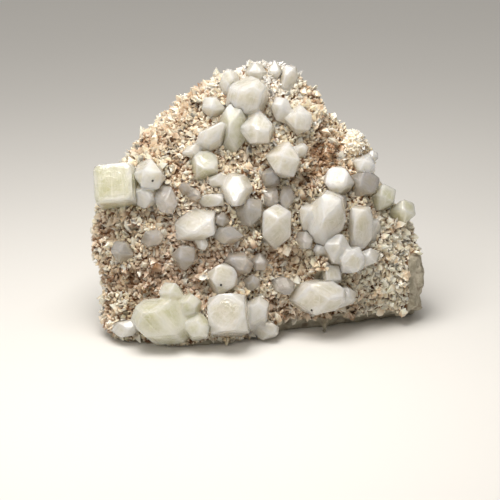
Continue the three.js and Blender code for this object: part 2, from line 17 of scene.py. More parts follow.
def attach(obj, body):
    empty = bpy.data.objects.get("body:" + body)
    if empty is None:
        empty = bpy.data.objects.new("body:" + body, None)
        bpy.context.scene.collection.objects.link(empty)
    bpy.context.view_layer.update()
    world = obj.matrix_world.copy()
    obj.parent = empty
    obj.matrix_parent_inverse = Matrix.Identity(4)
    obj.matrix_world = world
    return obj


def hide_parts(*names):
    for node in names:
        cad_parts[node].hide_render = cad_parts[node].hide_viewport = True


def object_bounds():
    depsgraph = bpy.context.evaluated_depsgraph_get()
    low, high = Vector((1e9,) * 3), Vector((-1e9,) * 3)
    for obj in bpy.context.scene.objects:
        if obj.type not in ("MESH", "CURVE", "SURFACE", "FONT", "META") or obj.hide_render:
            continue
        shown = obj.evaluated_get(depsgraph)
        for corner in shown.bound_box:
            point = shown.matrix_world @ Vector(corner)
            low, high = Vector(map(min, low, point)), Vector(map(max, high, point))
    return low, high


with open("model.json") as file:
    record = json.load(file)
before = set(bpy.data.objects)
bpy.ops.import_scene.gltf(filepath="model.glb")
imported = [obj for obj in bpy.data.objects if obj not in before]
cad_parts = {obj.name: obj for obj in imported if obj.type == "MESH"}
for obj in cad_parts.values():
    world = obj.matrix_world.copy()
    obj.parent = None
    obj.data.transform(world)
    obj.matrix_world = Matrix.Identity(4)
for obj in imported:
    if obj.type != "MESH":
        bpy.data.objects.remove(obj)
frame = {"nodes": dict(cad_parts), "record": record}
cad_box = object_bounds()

LOG = logging.getLogger("apophyllite")
MM = 0.001
ROOT = "root"
NOISE_SEED = 8
FACE_GAP = 1.7
FACE_OUT = Vector((-0.25, -0.9, 0.35)).normalized()
Colour = tuple[float, float, float]
Material = bpy.types.Material
Mesh = bpy.types.Mesh
Node = bpy.types.Node
NodeTree = bpy.types.NodeTree
Piece = bpy.types.Object
Socket = bpy.types.NodeSocket


def srgb(red: int, green: int, blue: int) -> Colour:
    """Turn a colour of 0 to 255 as seen on a screen into linear light.

    Args:
        red: Red, 0 to 255.
        green: Green, 0 to 255.
        blue: Blue, 0 to 255.

    Returns:
        The linear colour.
    """
    def linear(value: int) -> float:
        """Linear light of one channel."""
        share = value / 255
        return share / 12.92 if share <= 0.04045 else ((share + 0.055) / 1.055) ** 2.4

    return linear(red), linear(green), linear(blue)


class Slot(Enum):
    """Material slots of the record."""

    ROCK = "crusted_rock"
    PEACH = "peach_stilbite"
    MILKY = "milky_apophyllite"
    GREENISH = "greenish_apophyllite"
    CLEAR = "clear_apophyllite"


@dataclass(frozen=True)
class Stalk:
    """One stalk of a small crystal, in shares of its length: four-sided, narrower at its tip."""

    width: float
    thickness: float
    length: float
    shoulder: float
    tip: float
    lean: float = 0.0
    turn: float = 0.0


class CrustShape(Enum):
    """The small crystals that the crust is made of, each of one stalk or a few."""

    BLADE = (Stalk(0.62, 0.2, 1.0, 0.6, 0.5),)
    SHEAF = (
        Stalk(0.5, 0.17, 1.0, 0.6, 0.5),
        Stalk(0.46, 0.16, 0.86, 0.6, 0.5, lean=24.0, turn=8.0),
        Stalk(0.46, 0.16, 0.8, 0.62, 0.5, lean=-22.0, turn=-10.0),
    )
    POINT = (Stalk(0.48, 0.44, 1.0, 0.55, 0.08),)
    TUFT = (
        Stalk(0.44, 0.4, 1.0, 0.5, 0.1),
        Stalk(0.36, 0.34, 0.8, 0.5, 0.1, lean=33.0, turn=50.0),
        Stalk(0.34, 0.3, 0.66, 0.5, 0.1, lean=-38.0, turn=-30.0),
    )
    GRAIN = (Stalk(0.86, 0.7, 0.85, 0.5, 0.55, lean=6.0),)


class NodeDesk:
    """Adds nodes to a tree and links them in one call."""

    def __init__(self, tree: NodeTree) -> None:
        """Keep the tree that the nodes go into."""
        self.tree = tree

    def add(self, kind: str, settings: dict | None = None, **inputs: object) -> Node:
        """Add one node.

        Args:
            kind: Blender's name of the node type.
            settings: Properties of the node itself.
            **inputs: Values or output sockets for its inputs, by name with _ for a space.

        Returns:
            The node.
        """
        node = self.tree.nodes.new(kind)
        for key, value in (settings or {}).items():
            setattr(node, key, value)
        self.feed_all(node, **inputs)
        return node

    def feed(self, node: Node, name: str | int, value: object) -> None:
        """Set or link one input.

        Args:
            node: The node.
            name: The input's name, or its number.
            value: A value, or an output socket to link.
        """
        if isinstance(name, int):
            socket = node.inputs[name]
        else:
            socket = next(s for s in node.inputs if s.name == name and s.enabled)
        if isinstance(value, Socket):
            self.tree.links.new(value, socket)
        else:
            socket.default_value = value

    def feed_all(self, node: Node, **inputs: object) -> None:
        """Set or link several inputs, by name with _ for a space."""
        for name, value in inputs.items():
            self.feed(node, name.replace("_", " "), value)

    def place(self) -> Socket:
        """Return the coordinates in the object."""
        return self.add("ShaderNodeTexCoord").outputs["Object"]

    def stored(self, name: str, output: str = "Fac") -> Socket:
        """Return an attribute that the mesh carries."""
        return self.add("ShaderNodeAttribute", {"attribute_name": name}).outputs[output]

    def math(self, operation: str, first: object, second: object = 0.0) -> Socket:
        """Return the output of a Math node with one or two operands."""
        node = self.add("ShaderNodeMath", {"operation": operation})
        self.feed(node, 0, first)
        self.feed(node, 1, second)
        return node.outputs[0]

    def weighted(self, *terms: tuple[object, float]) -> Socket:
        """Return the sum of some values, each times its weight."""
        total, *others = (self.math("MULTIPLY", value, weight) for value, weight in terms)
        for other in others:
            total = self.math("ADD", total, other)
        return total

    def vector(self, operation: str, first: object, second: object = None,
               **inputs: object) -> Socket:
        """Return the output of a Vector Math node.

        Args:
            operation: Blender's name of the operation.
            first: The first operand.
            second: The second operand, if there is one.
            **inputs: Other inputs, by name.

        Returns:
            A number for a distance, and otherwise a vector.
        """
        node = self.add("ShaderNodeVectorMath", {"operation": operation}, **inputs)
        self.feed(node, 0, first)
        if second is not None:
            self.feed(node, 1, second)
        return node.outputs["Value" if operation == "DISTANCE" else "Vector"]

    def spread(self, value: object, low: float, high: float, to_low: float = 0.0,
               to_high: float = 1.0) -> Socket:
        """Return a value mapped smoothly from one span to another."""
        node = self.add("ShaderNodeMapRange", {"interpolation_type": "SMOOTHSTEP"})
        for index, item in enumerate((value, low, high, to_low, to_high)):
            self.feed(node, index, item)
        return node.outputs[0]

    def mix(self, share: object, first: object, second: object) -> Socket:
        """Return the mix of two colours."""
        node = self.add("ShaderNodeMix", {"data_type": "RGBA"})
        self.feed(node, 0, share)
        for index, item in ((6, first), (7, second)):
            if isinstance(item, tuple):
                item = (*item, 1.0)
            self.feed(node, index, item)
        return node.outputs[2]

    def noise(self, place: object, scale: float, detail: float = 3.0,
              roughness: float = 0.55) -> Socket:
        """Return a noise texture's value."""
        node = self.add("ShaderNodeTexNoise", Vector=place, Scale=scale, Detail=detail,
                        Roughness=roughness)
        return node.outputs["Fac"]

    def bump(self, height: object, strength: float, distance: float) -> Socket:
        """Return a normal that a height bends."""
        node = self.add("ShaderNodeBump", Strength=strength, Distance=distance, Height=height)
        return node.outputs[0]

    def random(self, kind: str, seed: object, **inputs: object) -> Node:
        """Add a Random Value node of one data type."""
        return self.add("FunctionNodeRandomValue", {"data_type": kind}, Seed=seed, **inputs)


def new_material(name: str) -> tuple[Material, NodeDesk, Node]:
    """Make an empty node material.

    Args:
        name: The material's name.

    Returns:
        The material, a desk on its tree, and its Principled shader.
    """
    material = bpy.data.materials.new(name)
    material.use_nodes = True
    material.node_tree.nodes.clear()
    desk = NodeDesk(material.node_tree)
    shader = desk.add("ShaderNodeBsdfPrincipled")
    output = desk.add("ShaderNodeOutputMaterial")
    material.node_tree.links.new(shader.outputs[0], output.inputs[0])
    return material, desk, shader


@dataclass(frozen=True)
class CrystalFinish:
    """Apophyllite: glassy faces with fine lines and steps over a more or less cloudy body.

    Texture scales are per metre, and the band near the rock is in millimetres.
    """

    name: str
    light: Colour
    shade: Colour
    # edge: pale colour of the veils, and of the painted highlights on rims and growth lines
    edge: Colour
    # root: tan of the painted shade near the rock, as if the rock showed through
    root: Colour
    transmission: float
    roughness: tuple[float, float]
    relief: float = 0.8
    relief_height: float = 0.4 * MM
    gloss: float = 0.55
    gloss_roughness: float = 0.04
    ior: float = 1.536
    cloud: float = 1.0
    cloud_radius: Colour = (1.0, 0.95, 0.84)
    cloud_depth: float = 8.0 * MM
    root_shade_band: tuple[float, float] = (2.5, 10.0)
    root_shade_strength: float = 0.6
    wisp_scale: float = 150.0
    broad_scale: float = 60.0
    veil_scale: float = 170.0
    veil_bend: float = 7.0 * MM
    etch_scale: float = 420.0

    def material(self) -> Material:
        """Build the finish.

        Returns:
            The material.
        """
        material, desk, shader = new_material(self.name)
        place, rim = desk.place(), desk.stored("rim")
        lines = self.lines(desk)
        surface = self.bumps(desk, lines, rim, place)
        smear = desk.noise(place, self.etch_scale)
        desk.feed_all(
            shader, Base_Color=self.body(desk, lines, rim, place),
            Roughness=desk.spread(smear, 0.35, 0.7, *self.roughness), IOR=self.ior,
            Transmission_Weight=self.transmission, Coat_Weight=self.gloss,
            Coat_Roughness=self.gloss_roughness, Subsurface_Weight=self.cloud,
            Subsurface_Radius=self.cloud_radius, Subsurface_Scale=self.cloud_depth,
            Normal=surface, Coat_Normal=surface)
        return material

    def body(self, desk: NodeDesk, lines: object, rim: object, place: object) -> Socket:
        """Mix the colour: wisps and veils, painted shade mid-face and near the rock, painted
        highlights.

        Args:
            desk: The desk on the material's tree.
            lines: Growth lines along each face.
            rim: Millimetres to the face's outline.
            place: Coordinates in the object.

        Returns:
            The colour.
        """
        wisps = desk.noise(place, self.wisp_scale, 5.0, 0.65)
        broad = desk.noise(place, self.broad_scale, 2.0)
        # Painted shade: each face darkens from its rims toward its middle, as if seen deeper into
        # the crystal.
        inward = desk.weighted((rim, 1.0), (desk.noise(place, 240.0), 2.4))
        tone = desk.weighted((wisps, 0.55), (broad, 0.33), (desk.spread(inward, 1.2, 5.0), 0.1))
        body = desk.mix(desk.spread(tone, 0.37, 0.66), self.light, self.shade)
        body = desk.mix(self.veils(desk, place, wisps), body, self.edge)
        # Painted shade: the crystal turns tan and darker within a few millimetres of the rock.
        height = desk.weighted((desk.stored("root"), 1.0), (wisps, 4.0))
        low = desk.spread(height, *self.root_shade_band, self.root_shade_strength, 0.0)
        body = desk.mix(low, body, self.root)
        # Painted highlight: each face turns pale within about a millimetre of its outline.
        highlight_rim = desk.weighted((rim, 1.0), (desk.noise(place, 500.0, 2.0), 1.2))
        body = desk.mix(desk.spread(highlight_rim, 0.5, 1.3, 0.4, 0.0), body, self.edge)
        # Painted highlight along the growth lines.
        return desk.mix(desk.spread(lines, 0.5, 0.72, 0.0, 0.5), body, self.edge)

    def veils(self, desk: NodeDesk, place: object, wisps: object) -> Socket:
        """Thin bent veils, like healed cracks, that come and go inside the crystal.

        Args:
            desk: The desk on the material's tree.
            place: Coordinates in the object.
            wisps: Noise that says where they fade out.

        Returns:
            How strongly they show.
        """
        drift = desk.add("ShaderNodeTexNoise", Vector=place, Scale=160.0, Detail=3.0)
        bent = desk.vector("SCALE", drift.outputs["Color"], Scale=self.veil_bend)
        cells = desk.add("ShaderNodeTexVoronoi", {"feature": "DISTANCE_TO_EDGE"},
                         Vector=desk.vector("ADD", place, bent), Scale=self.veil_scale)
        lines = desk.spread(cells.outputs["Distance"], 0.0, 0.07, 0.5, 0.0)
        return desk.math("MULTIPLY", lines, desk.spread(wisps, 0.46, 0.58))

    @staticmethod
    def lines(desk: NodeDesk) -> Socket:
        """Return fine growth lines that run along each face."""
        stretched = desk.add("ShaderNodeMapping", Vector=desk.stored("facet", "Vector"),
                             Scale=(0.12, 1.5, 1.0))
        return desk.noise(stretched.outputs[0], 1.6, 4.0, 0.65)

    def bumps(self, desk: NodeDesk, lines: object, rim: object, place: object) -> Socket:
        """Lines along each face, low steps that follow its outline, and fine etching.

        Args:
            desk: The desk on the material's tree.
            lines: Growth lines along each face.
            rim: Millimetres to the face's outline.
            place: Coordinates in the object.

        Returns:
            The normal.
        """
        ragged = desk.weighted((rim, 0.55), (desk.noise(place, 260.0), 3.0))
        steps = desk.spread(desk.math("FRACT", ragged), 0.75, 0.95)
        etch = desk.noise(place, self.etch_scale, 4.0, 0.6)
        height = desk.weighted((lines, 0.7), (steps, 0.3), (etch, 0.35))
        return desk.bump(height, self.relief, self.relief_height)


@dataclass(frozen=True)
class Patch:
    """A soft round stretch of crust colour; the top ones are painted light. Its sizes are in
    millimetres.
    """

    centre: tuple[float, float, float]
    reach: float
    colour: Colour
    strength: float
    stain_and_shade_cleared: float = 0.0

    def share(self, desk: NodeDesk, place: object, patchiness: float) -> Socket:
        """Return how strongly the patch shows at a place.

        Args:
            desk: The desk on the material's tree.
            place: Coordinates in the object.
            patchiness: How strongly the finish shows its patches.

        Returns:
            Its share of the colour.
        """
        away = desk.vector("DISTANCE", place, tuple(part * MM for part in self.centre))
        ragged = desk.math("MULTIPLY", desk.noise(place, 160.0), 14 * MM)
        reach = self.reach * MM
        return desk.spread(desk.math("ADD", away, ragged), reach * 0.5, reach * 1.25,
                           self.strength * patchiness, 0.0)


CRUST_PATCHES = (
    Patch((-38, -14, 30), 26, srgb(204, 180, 162), 0.75),
    Patch((-16, -14, 34), 20, srgb(206, 180, 160), 0.7),
    Patch((8, -14, 36), 16, srgb(200, 168, 138), 0.7),
    Patch((32, 6, 78), 18, srgb(190, 156, 120), 0.85),
    Patch((20, -2, 70), 14, srgb(210, 182, 148), 0.6),
    # Painted light: these two pale stretches at the top stand for the light from above and clear
    # most of the painted shade there.
    Patch((-34, 10, 88), 22, srgb(240, 226, 206), 0.8, 0.6),
    Patch((0, 26, 116), 30, srgb(255, 251, 243), 0.95, 0.95),
    Patch((62, 2, 24), 36, srgb(255, 246, 228), 0.95, 0.92),
)


@dataclass(frozen=True)
class CrustFinish:
    """Crust crystals: brown stain and painted shade at the root, paler and glassy at the tip."""

    name: str
    pale: Colour
    deep: Colour
    pink: Colour
    # stain_and_shade: brown stain together with painted shade at the roots and in the crevices
    stain_and_shade: Colour
    roughness: float
    transmission: float
    patchiness: float = 1.0
    ior: float = 1.52
    gloss: float = 0.2
    gloss_roughness: float = 0.05
    cloud: float = 1.0
    cloud_radius: Colour = (1.0, 0.97, 0.94)
    cloud_depth: float = 0.45 * MM
    grain_scale: float = 1400.0
    grain_height: float = 0.2 * MM

    def material(self) -> Material:
        """Build the finish.

        Returns:
            The material.
        """
        material, desk, shader = new_material(self.name)
        place, tint = desk.place(), desk.stored("tint")
        rough = desk.spread(tint, 0.3, 0.9, self.roughness * 1.5, self.roughness * 0.6)
        desk.feed_all(
            shader, Base_Color=self.colour(desk, place, tint), Roughness=rough, IOR=self.ior,
            Transmission_Weight=self.transmission, Coat_Weight=self.gloss,
            Coat_Roughness=self.gloss_roughness, Subsurface_Weight=self.cloud,
            Subsurface_Radius=self.cloud_radius, Subsurface_Scale=self.cloud_depth,
            Normal=desk.bump(desk.noise(place, self.grain_scale), 0.6, self.grain_height))
        return material

    def colour(self, desk: NodeDesk, place: object, tint: object) -> Socket:
        """Mix the colour: tints, patches with painted top light, stain and painted shade at the
        roots.

        Args:
            desk: The desk on the material's tree.
            place: Coordinates in the object.
            tint: Each small crystal's random share.

        Returns:
            The colour.
        """
        colour = desk.mix(desk.spread(tint, -0.3, 1.1), self.deep, self.pale)
        rosy = desk.spread(desk.noise(place, 55.0, 2.0), 0.48, 0.66, 0.0, 0.7)
        colour = desk.mix(rosy, colour, self.pink)
        stain_and_shade: object = self.stain_and_shade
        for patch in CRUST_PATCHES:
            share = patch.share(desk, place, self.patchiness)
            lighter = tuple(min(1.0, part * 1.12) for part in patch.colour)
            darker = tuple(part * 0.92 for part in patch.colour)
            colour = desk.mix(share, colour, desk.mix(tint, darker, lighter))
            # Some stretches clear part of the stain and painted shade.
            if patch.stain_and_shade_cleared:
                stain_and_shade = desk.mix(desk.math("MULTIPLY", share, patch.stain_and_shade_cleared), stain_and_shade, self.deep)
        # Brown stain and painted shade at each small crystal's root and in the crevices; own colour
        # at the tips and on the clumps.
        clear_of_stain_and_shade = desk.math("MULTIPLY", desk.spread(desk.stored("tip"), 0.1, 0.8, 0.1, 1.0),
                          desk.spread(desk.stored("relief"), 0.1, 0.75, 0.1, 1.0))
        return desk.mix(clear_of_stain_and_shade, stain_and_shade, colour)


@dataclass(frozen=True)
class RockFinish:
    """Bare rock: brown between the crystals, grey-green and rough where it is broken."""

    name: str
    brown: Colour
    dark_and_crevice_shade: Colour
    broken: Colour
    broken_pale: Colour
    speck: Colour
    # socket: painted light, pale tan where the rock meets a crystal and lies in its shade
    socket: Colour
    mottle_scale: float = 230.0
    speck_scale: float = 900.0
    grain_scale: float = 1500.0
    grain_height: float = 0.35 * MM

    def material(self) -> Material:
        """Build the finish.

        Returns:
            The material.
        """
        material, desk, shader = new_material(self.name)
        place, room = desk.place(), desk.stored("room")
        mottle = desk.noise(place, self.mottle_scale, 5.0, 0.65)
        grains = desk.add("ShaderNodeTexVoronoi", Vector=place, Scale=self.speck_scale)
        under = desk.mix(desk.spread(mottle, 0.35, 0.65), self.dark_and_crevice_shade, self.brown)
        bare = desk.mix(desk.spread(mottle, 0.4, 0.62), self.broken, self.broken_pale)
        # Painted shade: the broken rock darkens in its crevices.
        bare = desk.mix(desk.spread(desk.stored("relief"), 0.0, 0.45, 0.55, 0.0), bare, self.dark_and_crevice_shade)
        speck = desk.spread(grains.outputs["Distance"], 0.05, 0.25, 0.55, 0.0)
        bare = desk.mix(speck, bare, self.speck)
        colour = desk.mix(desk.spread(desk.stored("crust"), 0.15, 0.6), bare, under)
        # Painted light: the rock round each crystal's foot is paled where shade would darken it.
        colour = desk.mix(desk.spread(room, 0.08, 0.2, 0.9, 0.0), colour, self.socket)
        fine = desk.noise(place, self.grain_scale, 4.0, 0.65)
        fine = desk.weighted((fine, 1.0), (grains.outputs["Distance"], 0.5))
        desk.feed_all(
            shader, Base_Color=colour, Roughness=desk.spread(mottle, 0.3, 0.7, 0.72, 0.95),
            Normal=desk.bump(fine, 0.7, self.grain_height))
        return material


CRYSTAL_FINISHES = {
    Slot.MILKY.value: CrystalFinish(
        "milky_apophyllite", light=srgb(251, 247, 241), shade=srgb(218, 213, 192),
        edge=srgb(255, 253, 248), root=srgb(204, 193, 166), transmission=0.34,
        roughness=(0.06, 0.2)),
    Slot.GREENISH.value: CrystalFinish(
        "greenish_apophyllite", light=srgb(244, 243, 230), shade=srgb(214, 213, 180),
        edge=srgb(253, 252, 240), root=srgb(204, 199, 162), transmission=0.36,
        roughness=(0.06, 0.2)),
    Slot.CLEAR.value: CrystalFinish(
        "clear_apophyllite", light=srgb(253, 249, 244), shade=srgb(226, 214, 194),
        edge=srgb(255, 253, 248), root=srgb(208, 190, 158), transmission=0.7,
        roughness=(0.02, 0.1), relief=1.0),
}
CRUST_FINISH = CrustFinish(
    "crust_crystals", pale=srgb(255, 243, 221), deep=srgb(247, 228, 199),
    pink=srgb(248, 228, 209), stain_and_shade=srgb(152, 114, 80), roughness=0.12, transmission=0.1)
DRUSE_FINISH = CrustFinish(
    "druse_crystals", pale=srgb(255, 249, 238), deep=srgb(253, 242, 224),
    pink=srgb(253, 240, 226), stain_and_shade=srgb(236, 212, 180), roughness=0.07, transmission=0.2,
    patchiness=0.15)
STILBITE_FINISH = CrustFinish(
    "peach_blades", pale=srgb(255, 249, 240), deep=srgb(253, 241, 224),
    pink=srgb(254, 236, 216), stain_and_shade=srgb(248, 224, 192), roughness=0.24, transmission=0.05,
    patchiness=0.0)
ROCK_FINISH = RockFinish(
    "bare_rock", brown=srgb(134, 98, 66), dark_and_crevice_shade=srgb(84, 56, 36), broken=srgb(154, 147, 128),
    broken_pale=srgb(188, 180, 162), speck=srgb(196, 188, 168), socket=srgb(236, 218, 190))
SPECK_COLOURS = (srgb(22, 18, 16), srgb(48, 40, 34))


def linked(name: str, data: bpy.types.ID) -> Piece:
    """Return a new object with the given data, linked to the scene."""
    thing = bpy.data.objects.new(name, data)
    bpy.context.scene.collection.objects.link(thing)
    return thing


def mesh_from(shape: bmesh.types.BMesh, name: str) -> Mesh:
    """Return a new mesh made from a shape, and free the shape."""
    mesh = bpy.data.meshes.new(name)
    shape.to_mesh(mesh)
    shape.free()
    return mesh


def lay_even_mesh(piece: Piece, grain: float) -> None:
    """Give a piece a modifier that lays an even mesh over it."""
    even = piece.modifiers.new("even", "REMESH")
    even.mode = "VOXEL"
    even.voxel_size = grain


def surface_tree(*meshes: Mesh) -> BVHTree:
    """Return a tree for finding the nearest place on some meshes."""
    corners: list[Vector] = []
    faces: list[tuple[int, ...]] = []
    for mesh in meshes:
        start = len(corners)
        corners.extend(vertex.co.copy() for vertex in mesh.vertices)
        faces.extend(tuple(start + i for i in face.vertices) for face in mesh.polygons)
    return BVHTree.FromPolygons(corners, faces)


def merged_copy(node: str, name: str) -> Piece:
    """Copy a CAD node's mesh with its loose triangles joined.

    Args:
        node: The CAD node.
        name: The new object's name.

    Returns:
        The new object, linked to the scene.
    """
    mesh = frame["nodes"][node].data.copy()
    mesh.materials.clear()
    shape = bmesh.new()
    shape.from_mesh(mesh)
    bmesh.ops.remove_doubles(shape, verts=shape.verts, dist=0.002 * MM)
    shape.to_mesh(mesh)
    shape.free()
    mesh.name = name
    return linked(name, mesh)


def settle(piece: Piece) -> None:
    """Turn an object with modifiers into a plain mesh of their result."""
    view = bpy.context.evaluated_depsgraph_get()
    mesh = bpy.data.meshes.new_from_object(piece.evaluated_get(view), depsgraph=view)
    piece.modifiers.clear()
    piece.data = mesh


def places(mesh: Mesh) -> np.ndarray:
    """Return a mesh's vertex places as rows of three numbers."""
    flat = np.empty(len(mesh.vertices) * 3)
    mesh.vertices.foreach_get("co", flat)
    return flat.reshape(-1, 3)


def set_places(mesh: Mesh, rows: np.ndarray) -> None:
    """Move a mesh's vertices to the given places, kept inside the CAD box."""
    low, high = (np.array(corner) for corner in cad_box)
    mesh.vertices.foreach_set("co", np.clip(rows, low, high).ravel())
    mesh.update()


def vertex_normals(mesh: Mesh) -> np.ndarray:
    """Return a mesh's vertex normals as rows of three numbers."""
    flat = np.empty(len(mesh.vertices) * 3)
    mesh.vertex_normals.foreach_get("vector", flat)
    return flat.reshape(-1, 3)


def keep_number(mesh: Mesh, name: str, values: np.ndarray) -> None:
    """Store one number for each vertex of a mesh under a name."""
    layer = mesh.attributes.new(name, "FLOAT", "POINT")
    layer.data.foreach_set("value", values.astype(np.float32))


def smoothstep(values: np.ndarray, low: float, high: float) -> np.ndarray:
    """Return the values eased from 0 at low to 1 at high."""
    share = np.clip((values - low) / (high - low), 0.0, 1.0)
    return share * share * (3 - 2 * share)


def finish_piece(piece: Piece, slot: str, *nodes: str) -> None:
    """Tie a finished piece to the cluster and report it.

    Args:
        piece: The piece.
        slot: The record's material slot; not used.
        *nodes: The CAD nodes that it stands for.
    """
    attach(piece, ROOT)
    if nodes:
        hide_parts(*nodes)
    LOG.info("%s: %d faces", piece.name, len(piece.data.polygons))


@dataclass
class Facet:
    """One flat face of a crystal, with directions along and across its longest edge."""

    along: Vector
    across: Vector
    normal: Vector
    outline: list[Vector]
    middle: Vector
    area: float
    number: int

    def rim(self, place: Vector) -> float:
        """Return how far a place on the face is from the face's outline."""
        pairs = zip(self.outline, self.outline[1:] + self.outline[:1])
        return min(
            (geometry.intersect_point_line(place, a, b)[0] - place).length
            if 0 <= geometry.intersect_point_line(place, a, b)[1] <= 1
            else min((a - place).length, (b - place).length)
            for a, b in pairs)

    def spot(self, place: Vector, unit: float) -> tuple[float, float, float]:
        """Return the place along and across the face, and the face's number."""
        return place.dot(self.along) / unit, place.dot(self.across) / unit, self.number * FACE_GAP


@dataclass
class Crystals:
    """Every apophyllite crystal, with worn edges and faces that bulge and step a little."""

    flat_angle: float = math.radians(4)
    seed: int = 8
    plated_area: float = 55.0 * MM * MM
    plate_height: tuple[float, float] = (0.15 * MM, 0.35 * MM)
    plate_share: tuple[float, float] = (0.55, 0.85)
    plate_pull: tuple[float, float] = (0.2, 0.9)
    plate_taper: float = 0.93
    fit: float = 0.12 * MM
    grain: float = 0.46 * MM
    wear: float = 0.5
    bulge: float = 0.08 * MM
    bulge_reach: float = 2.5 * MM
    waviness: float = 0.12 * MM
    wave_scale: float = 200.0
    facet_unit: float = 3.0 * MM
    step_width: float = 1.7 * MM
    step_depth: float = 0.04 * MM
    step_share: float = 0.2
    step_drift: float = 1.2
    step_scale: float = 260.0
    ground: BVHTree | None = None

    def build(self) -> list[Piece]:
        """Dress every crystal node.

        Returns:
            The pieces.
        """
        self.ground = surface_tree(frame["nodes"]["matrix"].data)
        finishes = {slot: finish.material() for slot, finish in CRYSTAL_FINISHES.items()}
        pieces = []
        for part in frame["record"]["subparts"]:
            slot = part["material_slot"]
            if slot in finishes:
                pieces.append(self.crystal(part["node"], slot, finishes[slot]))
        return pieces

    def crystal(self, node: str, slot: str, finish: Material) -> Piece:
        """Dress one crystal node.

        Args:
            node: The CAD node.
            slot: Its material slot.
            finish: Its material.

        Returns:
            The piece.
        """
        piece = merged_copy(node, f"{node}_dressed")
        tree, facets = self.read_facets(piece.data)
        self.lay_plates(piece.data, facets)
        lay_even_mesh(piece, self.grain)
        worn = piece.modifiers.new("worn_edges", "SMOOTH")
        worn.factor = self.wear
        settle(piece)
        self.shape_faces(piece.data, tree, facets)
        piece.data.materials.append(finish)
        piece.data.shade_smooth()
        finish_piece(piece, slot, node)
        return piece

    def lay_plates(self, mesh: Mesh, facets: list[Facet]) -> None:
        """Lay one low growth plate on each large face, pushed toward a corner.

        Args:
            mesh: The crystal's merged CAD mesh, which the plates are added to.
            facets: Its flat faces.
        """
        chance = random.Random(self.seed + len(facets))
        shape = bmesh.new()
        shape.from_mesh(mesh)
        for facet in facets:
            if facet.area < self.plated_area:
                continue
            corner = chance.choice(facet.outline)
            pivot = facet.middle.lerp(corner, chance.uniform(*self.plate_pull))
            share = chance.uniform(*self.plate_share)
            self.add_plate(shape, facet, pivot, share, chance.uniform(*self.plate_height))
        shape.to_mesh(mesh)
        shape.free()

    def add_plate(self, shape: bmesh.types.BMesh, facet: Facet, pivot: Vector, share: float,
                  height: float) -> None:
        """Add one plate with the face's own outline, drawn in toward a point.

        Args:
            shape: The mesh that it goes into.
            facet: The face under it.
            pivot: The point that its outline is drawn in toward.
            share: Its size as a share of the face's.
            height: How far it stands up from the face.
        """
        sunk = facet.normal * self.plate_height[0]
        low = [shape.verts.new(pivot + (c - pivot) * share - sunk) for c in facet.outline]
        taper = self.plate_taper
        top = [shape.verts.new(pivot + (c - pivot) * share * taper + facet.normal * height)
               for c in facet.outline]
        shape.faces.new(low[::-1])
        shape.faces.new(top)
        for index in range(len(low)):
            after = (index + 1) % len(low)
            shape.faces.new((low[index], low[after], top[after], top[index]))

    def read_facets(self, mesh: Mesh) -> tuple[BVHTree, list[Facet]]:
        """Join the triangles of each flat face and list the faces.

        Args:
            mesh: The crystal's merged CAD mesh, which isn't changed.

        Returns:
            A tree for finding the nearest face, and the faces.
        """
        shape = bmesh.new()
        shape.from_mesh(mesh)
        bmesh.ops.dissolve_limit(
            shape, angle_limit=self.flat_angle, verts=shape.verts, edges=shape.edges)
        shape.faces.ensure_lookup_table()
        facets = []
        for face in shape.faces:
            longest = max(face.edges, key=lambda edge: edge.calc_length())
            along = (longest.verts[1].co - longest.verts[0].co).normalized()
            outline = [corner.co.copy() for corner in face.verts]
            facets.append(Facet(
                along, face.normal.cross(along), face.normal.copy(), outline,
                face.calc_center_median(), face.calc_area(), face.index))
        tree = BVHTree.FromBMesh(shape)
        shape.free()
        return tree, facets

    def shape_faces(self, mesh: Mesh, tree: BVHTree, facets: list[Facet]) -> None:
        """Round the faces toward their rims, step and wave them, and note how they lie.

        Args:
            mesh: The crystal's even mesh.
            tree: The tree of its flat faces.
            facets: Its flat faces.
        """
        rows = places(mesh)
        normals = vertex_normals(mesh)
        rims = np.zeros(len(rows))
        roots = np.zeros(len(rows))
        spots = np.zeros((len(rows), 3))
        for index, row in enumerate(rows):
            place = Vector(row)
            nearest = tree.find_nearest(place)
            facet = facets[nearest[2]]
            rim = facet.rim(nearest[0])
            rims[index] = rim
            roots[index] = self.ground.find_nearest(place)[3]
            spots[index] = facet.spot(place, self.facet_unit)
            wave = 0.5 + 0.5 * noise.noise(place * self.wave_scale)
            drift = self.step_drift * noise.noise(place * self.step_scale)
            step = (rim / self.step_width + drift) % 1.0
            toward_rim = max(0.0, 1 - rim / self.bulge_reach) ** 2
            depth = self.waviness * wave + self.bulge * toward_rim - self.fit
            depth += self.step_depth * (step > 1 - self.step_share)
            rows[index] = row - normals[index] * depth
        keep_number(mesh, "rim", rims / MM)
        # root: millimetres to the rock, where the finish paints shade
        keep_number(mesh, "root", roots / MM)
        layer = mesh.attributes.new("facet", "FLOAT_VECTOR", "POINT")
        layer.data.foreach_set("vector", spots.astype(np.float32).ravel())
        set_places(mesh, rows)


